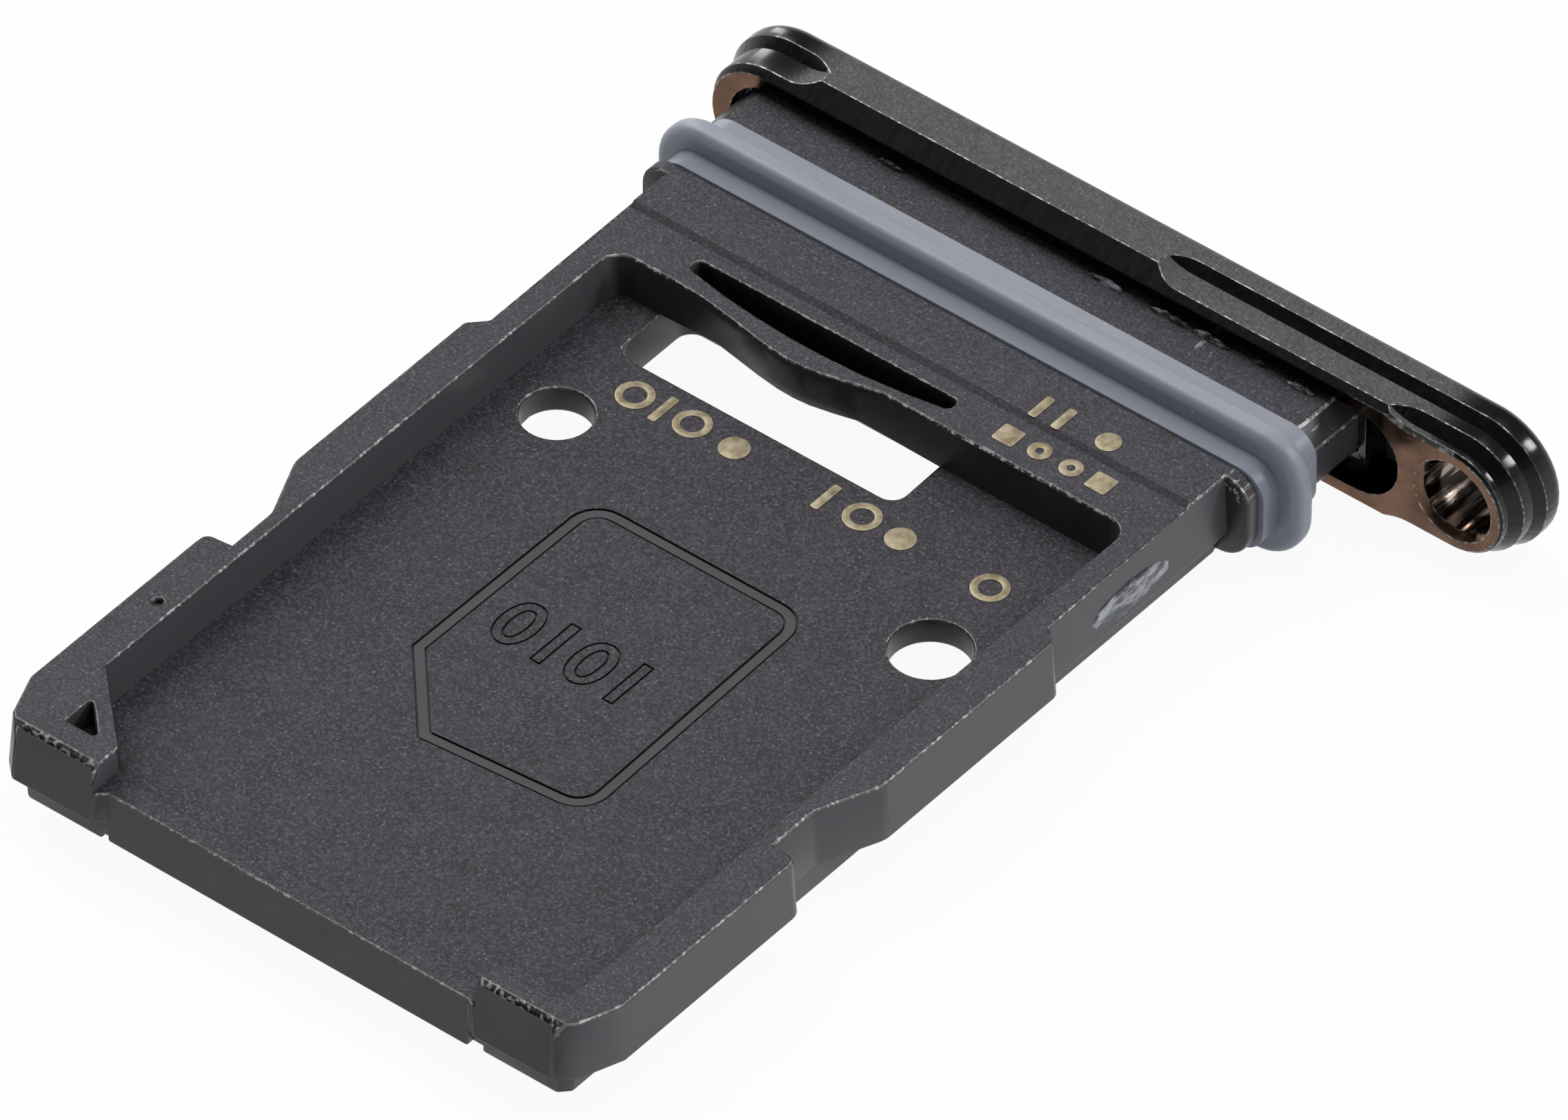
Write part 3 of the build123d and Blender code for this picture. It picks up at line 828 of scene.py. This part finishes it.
@dataclass
class Carrier:
    """The moulded carrier, with what is pressed into it and left standing on it."""

    node: Piece
    datum: Datum
    seal: Piece
    edge_round: float = 0.04
    pocket_depth: float = 0.70
    outline: tuple[tuple[float, float], ...] = (
        (-2.04, 8.74),
        (1.91, 8.74),
        (2.02, 3.62),
        (-0.82, 3.38),
        (-2.08, 4.80),
    )
    outline_round: float = 0.50
    outline_width: float = 0.21
    band_depth: float = 0.012
    line_width: float = 0.034
    line_depth: float = 0.040
    digits: str = "0101"
    digit_place: tuple[float, float] = (-1.52, 5.64)
    digit_size: float = 1.30
    digit_bold: float = 0.018
    pressed_half_width: float = 3.0
    pressed_from: float = 3.0
    pressed_to: float = 9.0
    pit_place: tuple[float, float] = (-4.90, 2.68)
    pit_width: float = 0.20
    scuffs: tuple[Triple, ...] = ((5.30, 15.80, -0.10), (5.22, 14.12, -0.04), (3.03, 16.06, 0.0))

    def build(self) -> Piece:
        """Return the dressed carrier."""
        body = copy_of(self.node, "carrier_body")
        inner = self.outline_width - self.line_width
        tools = (
            self.outline_tool(0.0, self.line_width, self.line_depth),
            self.outline_tool(inner, self.line_width, self.line_depth),
            self.outline_tool(self.line_width / 2, inner, self.band_depth),
            self.digit_tool(),
            self.pit_tool(),
        )
        for tool in tools:
            cut(body, tool)
        put_in_order(body)
        merge(body, WELD / 10)
        put_in_order(body)
        flatten(body)
        self.dress(body)
        mount(body, Slot.CARRIER, self.node.name)
        return body

    def outline_tool(self, start: float, width: float, depth: float) -> Piece:
        """Return a tool that presses a line along the card's outline into the pocket floor.

        Args:
            start: How far inside the outline the line starts, in millimetres.
            width: The line's width.
            depth: The line's depth.

        Returns:
            The tool.
        """
        deselect()
        bpy.ops.mesh.primitive_circle_add(vertices=len(self.outline), radius=MM, fill_type="NGON")
        tool = bpy.context.object
        corners = [self.datum.at(x, y, depth - self.pocket_depth) for x, y in self.outline]
        for vertex, corner in zip(tool.data.vertices, corners):
            vertex.co = corner
        with editing(tool, "VERT"):
            self.select_corners(tool, corners[:3])
            bpy.ops.mesh.bevel(offset=self.outline_round * MM, segments=6, affect="VERTICES")
            bpy.ops.mesh.select_mode(type="FACE")
            bpy.ops.mesh.select_all(action="SELECT")
            if start:
                bpy.ops.mesh.inset(thickness=start * MM)
                bpy.ops.mesh.select_all(action="INVERT")
                bpy.ops.mesh.delete(type="FACE")
                bpy.ops.mesh.select_all(action="SELECT")
            bpy.ops.mesh.inset(thickness=width * MM)
            bpy.ops.mesh.delete(type="FACE")
            bpy.ops.mesh.select_all(action="SELECT")
            drop = (0, 0, -2 * depth * MM)
            bpy.ops.mesh.extrude_region_move(TRANSFORM_OT_translate={"value": drop})
            bpy.ops.mesh.select_all(action="SELECT")
            bpy.ops.mesh.normals_make_consistent(inside=False)
        return tool

    def select_corners(self, tool: Piece, corners: list[Vector]) -> None:
        """Select a tool's vertices at these places, while it is edited."""
        mesh = bmesh.from_edit_mesh(tool.data)
        for vertex in mesh.verts:
            vertex.select_set(any((vertex.co - corner).length < WELD for corner in corners))
        mesh.select_flush_mode()
        bmesh.update_edit_mesh(tool.data)

    def digit_tool(self) -> Piece:
        """Return the tool that presses the outlines of plain digits into the pocket floor."""
        tool = self.solid_digits(self.digit_bold + self.line_width / 2, self.line_depth)
        cut(tool, self.solid_digits(self.digit_bold - self.line_width / 2, 2 * self.line_depth))
        return tool

    def solid_digits(self, bold: float, depth: float) -> Piece:
        """Return the digits as one solid on the pocket floor.

        Args:
            bold: How far their strokes are thickened, in millimetres.
            depth: How far they reach below and above the floor.

        Returns:
            The digits.
        """
        deselect()
        bpy.ops.object.text_add(location=self.datum.at(*self.digit_place, -self.pocket_depth))
        text = bpy.context.object
        text.data.body = self.digits
        text.data.size = self.digit_size * MM
        text.data.extrude = depth * MM
        text.data.offset = bold * MM
        bpy.ops.object.convert(target="MESH")
        solid = bpy.context.object
        settle(solid)
        with editing(solid):
            bpy.ops.mesh.select_all(action="SELECT")
            bpy.ops.mesh.remove_doubles(threshold=WELD)
            bpy.ops.mesh.normals_make_consistent(inside=False)
        return solid

    def pit_tool(self) -> Piece:
        """Return the tool for the small pit in the left rail."""
        deselect()
        bpy.ops.mesh.primitive_cylinder_add(
            vertices=24,
            radius=self.pit_width / 2 * MM,
            depth=self.pit_width * MM,
            location=self.datum.at(*self.pit_place),
        )
        tool = bpy.context.object
        settle(tool)
        with editing(tool):
            select_faces(tool, lambda middle, normal: normal.z < -0.9)
            bpy.ops.transform.resize(value=(0.6, 0.6, 1.0))
        return tool

    def dress(self, body: Piece) -> None:
        """Give the carrier its finishes and rounded edges."""
        plastic = MouldedPlastic(tuple(self.datum.at(*place) for place in self.scuffs), self.datum.z)
        band = PressedFloor("pressed_band", (0.045, 0.0420, 0.0488), (0.054, 0.0504, 0.0582))
        # Painted shade: the floors and walls of the narrow grooves are darker.
        line = PressedFloor("pressed_line", (0.010, 0.0095, 0.0110), (0.018, 0.0170, 0.0195))
        for finish in (plastic, KeyLitEdge(), band, line):
            body.data.materials.append(finish.make())
        for face in body.data.polygons:
            x, y, z = (face.center - self.datum.at(0, 0, -self.pocket_depth)) / MM
            if self.in_pressed_area(x, y) and -2 * self.line_depth < z < -self.band_depth / 4:
                on_band = z > -1.5 * self.band_depth and face.normal.z > 0.9
                face.material_index = CarrierFinish.BAND if on_band else CarrierFinish.LINE
            # Front chamfers take the edge finish and its painted highlight beads.
            elif y < 0.1 and face.normal.y < -0.3 < 0.3 < face.normal.z:
                face.material_index = CarrierFinish.EDGE
        round_edges(body, self.edge_round, 32, self.share, CarrierFinish.EDGE)
        smooth(body)

    def in_pressed_area(self, x: float, y: float) -> bool:
        """Return whether a place lies within the area that has the pressed outline and digits."""
        return abs(x) < self.pressed_half_width and self.pressed_from < y < self.pressed_to

    def share(self, middle: Vector) -> float:
        """Return the share of the full rounding that an edge at a place has."""
        x, y, z = (middle - self.datum.at(0, 0)) / MM
        low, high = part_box(self.seal.name)
        pressed = self.in_pressed_area(x, y) and z < 0.1 - self.pocket_depth
        return 0.0 if pressed or low.y - 0.03 * MM < middle.y < high.y + 0.03 * MM else 1.0


@dataclass
class SealRing:
    """The rubber ring in the carrier's groove."""

    node: Piece
    datum: Datum
    bead_from: float = 14.80

    def build(self) -> Piece:
        """Return the dressed ring."""
        ring = copy_of(self.node, "seal_band")
        flatten(ring)
        ring.data.materials.append(SealRubber(self.datum.at(0, self.bead_from).y).make())
        smooth(ring, 40.0)
        mount(ring, Slot.SEAL, self.node.name)
        return ring


@dataclass
class FaceCap:
    """The milled metal cap."""

    node: Piece
    datum: Datum
    edge_round: float = 0.012
    bore_reach: float = 0.72
    tongue: tuple[float, float] = (-5.05, 5.40)
    chamfer_length: float = 0.20

    def build(self) -> Piece:
        """Return the dressed cap."""
        cap = copy_of(self.node, "cap_body")
        flatten(cap)
        low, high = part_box(self.node.name)
        middle = (low + high) / 2
        radius = (high.z - low.z) / 2
        pin = Vector((high.x - radius, middle.y, middle.z))
        left = Vector((low.x + radius, middle.y, middle.z))
        refine_arcs(cap, pin, 1, 2 * radius / MM)
        refine_arcs(cap, pin, -1, self.bore_reach)
        refine_arcs(cap, left, -1, 2 * radius / MM)
        tongue = [self.datum.at(x, 0).x for x in self.tongue]
        # The back face's brown is a painted warm reflection.
        brown = WarmReflectionBack(self.datum.z, *tongue)
        glint = GlintEdge(low.y, *tongue)
        for finish in (BlastedMetal(), PolishedMetal(), brown, glint, SatinChamfer()):
            cap.data.materials.append(finish.make())
        self.choose_finishes(cap, pin, low.y)
        round_edges(cap, self.edge_round, 24, lambda place: 1.0, CapFinish.GLINT)
        smooth(cap, 24.0)
        mount(cap, Slot.CAP, self.node.name)
        return cap

    def choose_finishes(self, cap: Piece, pin: Vector, back: float) -> None:
        """Polish the steps and the pocket, and give the back face and the bores the brown painted warm
        reflection.

        Args:
            cap: The cap.
            pin: A point on the eject hole's axis.
            back: How far along the tray the back face lies.
        """
        for face in cap.data.polygons:
            place, normal = face.center, face.normal
            from_pin = Vector((place.x - pin.x, 0, place.z - pin.z))
            in_bore = from_pin.length < self.bore_reach * MM
            in_pocket = normal.z * (place.z - pin.z) < 0
            sloped = normal.y < -0.15
            if normal.y < -0.97 and place.y < back + 0.02 * MM or in_bore and normal.y < 0.5:
                face.material_index = CapFinish.BROWN
            elif sloped and not in_pocket and place.x < pin.x and place.y < back + self.chamfer_length * MM:
                # The narrow chamfer strips next to the back get the painted edge highlight.
                narrow = place.y < back + self.chamfer_length * MM / 4
                face.material_index = CapFinish.GLINT if narrow else CapFinish.CHAMFER
            elif abs(normal.y) < 0.97 and (in_pocket or sloped):
                face.material_index = CapFinish.POLISHED


@dataclass
class AdhesiveBead:
    """The adhesive in the cap's pocket."""

    node: Piece

    def build(self) -> Piece:
        """Return the dressed adhesive."""
        bead = copy_of(self.node, "glue_line")
        flatten(bead)
        bead.data.materials.append(CuredAdhesive().make())
        round_edges(bead, 0.03, 30, lambda place: 1.0)
        smooth(bead)
        mount(bead, Slot.ADHESIVE, self.node.name)
        return bead


@dataclass
class GlueFlecks:
    """The flecks of adhesive pressed out where the tongue goes into the cap."""

    datum: Datum
    rise: float = 0.07
    least_breadth: float = 0.07
    breadth_share: float = 0.10
    roughness: float = 0.016
    flecks: tuple[Triple, ...] = (
        (-2.69, 16.21, 0.50),
        (1.17, 16.20, 0.62),
        (2.35, 16.19, 0.80),
        (3.08, 16.20, 0.74),
        (3.92, 16.22, 0.20),
        (4.69, 16.17, 0.50),
    )

    def build(self) -> Piece:
        """Return all the flecks as one piece."""
        parts = [self.fleck(*fleck, number) for number, fleck in enumerate(self.flecks)]
        piece = join(parts, "glue_flecks")
        film = CuredAdhesive((0.012, 0.012, 0.013), (0.46, 0.47, 0.50), "adhesive_film")
        piece.data.materials.append(film.make())
        shade(piece, 50.0)
        mount(piece, Slot.ADHESIVE)
        return piece

    def fleck(self, x: float, y: float, length: float, seed: int) -> Piece:
        """Return one fleck.

        Args:
            x: Its middle across the tray, in millimetres from the datum.
            y: Its middle along the tray.
            length: Its length across the tray.
            seed: What its own uneven shape starts from.

        Returns:
            The fleck, half sunk in the joint.
        """
        deselect()
        bpy.ops.mesh.primitive_uv_sphere_add(segments=24, ring_count=12, radius=0.5)
        fleck = bpy.context.object
        breadth = self.least_breadth + self.breadth_share * length
        fleck.scale = Vector((length, breadth, 2 * self.rise)) * MM
        fleck.location = self.datum.at(x, y)
        settle(fleck)
        with editing(fleck, "VERT"):
            bpy.ops.mesh.select_all(action="SELECT")
            bpy.ops.transform.vertex_random(offset=self.roughness * MM, uniform=0.3, normal=0.5, seed=seed)
        finish_modifier(fleck, "SUBSURF", levels=1, render_levels=1)
        return fleck


@dataclass
class GateScar:
    """The torn place on the right rail where the moulding was broken from its gate."""

    datum: Datum
    place: Triple = (5.055, 11.88, -0.64)
    size: Triple = (0.09, 1.75, 0.50)
    roughness: float = 0.030

    def build(self) -> Piece:
        """Return the scar."""
        deselect()
        bpy.ops.mesh.primitive_uv_sphere_add(segments=36, ring_count=24, radius=0.5)
        scar = bpy.context.object
        scar.name = scar.data.name = "gate_scar"
        scar.scale = Vector(self.size) * MM
        scar.location = self.datum.at(*self.place)
        settle(scar)
        with editing(scar, "VERT"):
            bpy.ops.mesh.select_all(action="SELECT")
            bpy.ops.transform.vertex_random(offset=self.roughness * MM, uniform=0.2, normal=0.4, seed=5)
        finish_modifier(scar, "SUBSURF", levels=1, render_levels=1)
        scar.data.materials.append(TornPlastic().make())
        shade(scar, 35.0)
        mount(scar, Slot.CARRIER)
        return scar


@dataclass
class GoldMarks:
    """The plain gold marks on the pocket floor, the rear rim and the bridge."""

    datum: Datum
    thickness: float = 0.012
    stroke: float = 0.115
    rim: float = 0.010
    floor_level: float = -0.70
    bridge_level: float = 0.06
    floor_height: float = 0.58
    rim_height: float = 0.36
    bridge_height: float = 0.48
    floor_row: tuple[tuple[Mark, float, float], ...] = (
        (Mark.RING, -2.93, 10.78),
        (Mark.BAR, -2.44, 10.80),
        (Mark.RING, -1.93, 10.82),
        (Mark.DISC, -1.16, 10.80),
        (Mark.BAR, 0.47, 10.82),
        (Mark.RING, 1.12, 10.82),
        (Mark.DISC, 1.82, 10.80),
        (Mark.RING, 3.42, 10.80),
    )
    rim_row: tuple[tuple[Mark, float, float], ...] = (
        (Mark.BLOCK, 2.12, 12.83),
        (Mark.RING, 2.66, 12.85),
        (Mark.RING, 3.22, 12.85),
        (Mark.BLOCK, 3.74, 12.87),
    )
    bridge_row: tuple[tuple[Mark, float, float], ...] = (
        (Mark.BAR, 2.15, 13.53),
        (Mark.BAR, 2.55, 13.53),
        (Mark.DISC, 3.33, 13.55),
    )

    def build(self) -> Piece:
        """Return all the marks as one piece."""
        rows = (
            (self.floor_row, self.floor_level, self.floor_height),
            (self.rim_row, 0.0, self.rim_height),
            (self.bridge_row, self.bridge_level, self.bridge_height),
        )
        # The second gold, on the rounded rims, is a painted highlight.
        finishes = [
            GoldPrint("gold_print", (0.25, 0.185, 0.105), (0.42, 0.36, 0.235)).make(),
            GoldPrint("gold_rim", (0.36, 0.31, 0.20), (0.54, 0.49, 0.36)).make(),
        ]
        marks = [
            self.mark(kind, self.datum.at(x, y, level), height, finishes)
            for row, level, height in rows
            for kind, x, y in row
        ]
        piece = join(marks, "gold_marks")
        shade(piece, 40.0)
        mount(piece, None)
        return piece

    def mark(self, kind: Mark, place: Vector, height: float, finishes: list[Material]) -> Piece:
        """Return one mark.

        Args:
            kind: The mark's shape.
            place: The middle of its underside.
            height: Its height along the tray, in millimetres.
            finishes: The gold of its middle and the paler gold of its rim, a painted highlight.

        Returns:
            The mark, which lies on the surface under it.
        """
        width = {Mark.BAR: self.stroke * 1.2, Mark.DISC: height * 0.8}.get(kind, height)
        corners = 32 if kind in (Mark.RING, Mark.DISC) else 4
        deselect()
        bpy.ops.mesh.primitive_circle_add(
            vertices=corners,
            radius=0.5 if corners > 4 else 0.5**0.5,
            fill_type="NGON",
            rotation=(0, 0, math.pi / 4),
        )
        mark = bpy.context.object
        settle(mark)
        mark.scale = (width * MM, (height if kind != Mark.DISC else width) * MM, 1)
        mark.location = place
        settle(mark)
        with editing(mark):
            bpy.ops.mesh.select_all(action="SELECT")
            if corners == 4:
                bpy.ops.mesh.bevel(offset=self.stroke * 0.3 * MM, segments=3, affect="VERTICES")
                bpy.ops.mesh.select_all(action="SELECT")
            if kind == Mark.RING:
                bpy.ops.mesh.inset(thickness=self.stroke * MM)
                bpy.ops.mesh.delete(type="FACE")
                bpy.ops.mesh.select_all(action="SELECT")
            rise = (0, 0, self.thickness * MM)
            bpy.ops.mesh.extrude_region_move(TRANSFORM_OT_translate={"value": rise})
            bpy.ops.mesh.select_all(action="SELECT")
            bpy.ops.mesh.normals_make_consistent(inside=False)
        for finish in finishes:
            mark.data.materials.append(finish)
        round_edges(mark, self.rim, 60, lambda place: 1.0, 1)
        return mark


@dataclass(frozen=True)
class Softbox:
    """A soft lamp that faces the tray.

    Attributes:
        name: The lamp's name.
        toward: The direction from the tray to the lamp.
        distance: How far it stands, in metres.
        size: Its width and height, in metres.
        power: Its power, in watts.
    """

    name: str
    toward: Triple
    distance: float
    size: tuple[float, float]
    power: float

    def build(self) -> Piece:
        """Return the lamp."""
        lamp = bpy.data.lights.new(self.name, "AREA")
        lamp.shape = "RECTANGLE"
        lamp.size, lamp.size_y = self.size
        lamp.energy = self.power
        light = bpy.data.objects.new(self.name, lamp)
        bpy.context.scene.collection.objects.link(light)
        direction = Vector(self.toward).normalized()
        light.location = direction * self.distance
        light.rotation_mode = "QUATERNION"
        light.rotation_quaternion = direction.to_track_quat("Z", "Y")
        light.visible_camera = False
        return light


@dataclass
class Studio:
    """The floor, the lamps, the world and the camera."""

    datum: Datum
    azimuth: float = 38.5237
    elevation: float = 42.4009
    roll: float = 0.5
    distance: float = 463.4215
    aim_right: float = 6.564241
    aim_up: float = 4.055049
    pixels_per_mm: float = 105.23496
    floor_side: float = 3.0
    floor_white: Triple = (0.93, 0.93, 0.93)
    floor_glow: float = 0.94
    ceiling: float = 0.10
    horizon: float = 0.85
    lamps: tuple[Softbox, ...] = (
        Softbox("left_softbox", (-0.67, 0.21, 0.71), 0.50, (0.28, 0.40), 1.62),
        Softbox("top_softbox", (0.05, 0.20, 0.98), 0.50, (0.26, 0.26), 0.66),
        Softbox("key_lamp", (0.56, 0.58, 0.58), 0.50, (0.07, 0.11), 0.66),
        Softbox("left_strip", (-0.78, 0.58, 0.20), 0.50, (0.04, 0.20), 0.16),
    )

    def build(self) -> None:
        """Set up the whole studio."""
        self.build_floor()
        for lamp in self.lamps:
            lamp.build()
        self.build_world()
        self.build_camera()

    def build_floor(self) -> None:
        """Lay the pale floor."""
        deselect()
        bpy.ops.mesh.primitive_plane_add(size=self.floor_side)
        floor = bpy.context.object
        floor.name = "studio_floor"
        graph = Graph("studio_floor")
        paths = graph.add("ShaderNodeLightPath").outputs
        seen = graph.math("MAXIMUM", paths["Is Camera Ray"], paths["Is Glossy Ray"])
        seen = graph.math("MAXIMUM", seen, paths["Is Transmission Ray"])
        share = graph.times(seen, self.floor_glow)
        matte = graph.add("ShaderNodeBsdfDiffuse", {"Color": (*self.floor_white, 1.0)})
        glow = graph.add("ShaderNodeEmission", {"Color": (1.0, 1.0, 1.0, 1.0), "Strength": 1.0})
        mixed = graph.add("ShaderNodeMixShader", {0: share, 1: matte.outputs[0], 2: glow.outputs[0]})
        graph.add("ShaderNodeOutputMaterial", {"Surface": mixed.outputs[0]})
        floor.data.materials.append(graph.material)
        floor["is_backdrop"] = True

    def build_world(self) -> None:
        """Make a world that is pale round the horizon and darker overhead."""
        world = bpy.data.worlds.new("studio_world")
        bpy.context.scene.world = world
        world.use_nodes = True
        tree = world.node_tree
        tree.nodes.clear()
        place = tree.nodes.new("ShaderNodeTexCoord")
        parts = tree.nodes.new("ShaderNodeSeparateXYZ")
        level = tree.nodes.new("ShaderNodeMapRange")
        level.interpolation_type = "SMOOTHSTEP"
        limits = {"From Min": 0.05, "From Max": 0.55, "To Min": self.horizon, "To Max": self.ceiling}
        for name, value in limits.items():
            level.inputs[name].default_value = value
        sky = tree.nodes.new("ShaderNodeBackground")
        sky.inputs["Color"].default_value = (0.97, 0.98, 1.0, 1.0)
        output = tree.nodes.new("ShaderNodeOutputWorld")
        tree.links.new(place.outputs["Generated"], parts.inputs[0])
        tree.links.new(parts.outputs["Z"], level.inputs["Value"])
        tree.links.new(level.outputs["Result"], sky.inputs["Strength"])
        tree.links.new(sky.outputs[0], output.inputs["Surface"])

    def build_camera(self) -> None:
        """Place the camera at the photograph's viewing angle."""
        turn, tilt, lean = (math.radians(a) for a in (self.azimuth, self.elevation, self.roll))
        right = Vector((math.cos(turn), math.sin(turn), 0))
        back = Vector((math.sin(turn) * math.cos(tilt), -math.cos(turn) * math.cos(tilt), math.sin(tilt)))
        up = back.cross(right)
        right, up = (
            right * math.cos(lean) + up * math.sin(lean),
            up * math.cos(lean) - right * math.sin(lean),
        )
        lens = bpy.data.cameras.new("photo_camera")
        lens.sensor_fit = "HORIZONTAL"
        lens.sensor_width = SENSOR_WIDTH
        lens.lens = self.pixels_per_mm * self.distance * SENSOR_WIDTH / PHOTO_WIDTH
        lens.clip_start, lens.clip_end = 0.01, 10.0
        camera = bpy.data.objects.new("photo_camera", lens)
        bpy.context.scene.collection.objects.link(camera)
        turned = Matrix((right, up, back)).transposed().to_4x4()
        place = self.datum.at(*(right * self.aim_right + up * self.aim_up + back * self.distance))
        camera.matrix_world = Matrix.Translation(place) @ turned
        bpy.context.scene.camera = camera
        bpy.context.scene.view_settings.view_transform = "Standard"


def write_sizes() -> None:
    """Work out the CAD box and the visual model's box, without keeping them."""
    boxes = {"cad": CAD_BOX, "visual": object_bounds()}
    {name: [list(corner) for corner in box] for name, box in boxes.items()}


def main() -> None:
    """Build the dressed tray and its studio."""
    logging.basicConfig(level=logging.INFO, format="%(name)s %(message)s")
    nodes = frame["nodes"]
    datum = Datum.from_record(frame["record"])
    Studio(datum).build()
    Carrier(nodes["tray_carrier"], datum, nodes["seal_ring"]).build()
    SealRing(nodes["seal_ring"], datum).build()
    FaceCap(nodes["face_cap"], datum).build()
    AdhesiveBead(nodes["adhesive_bead"]).build()
    GlueFlecks(datum).build()
    GateScar(datum).build()
    GoldMarks(datum).build()
    write_sizes()


if __name__ == "__main__":
    main()
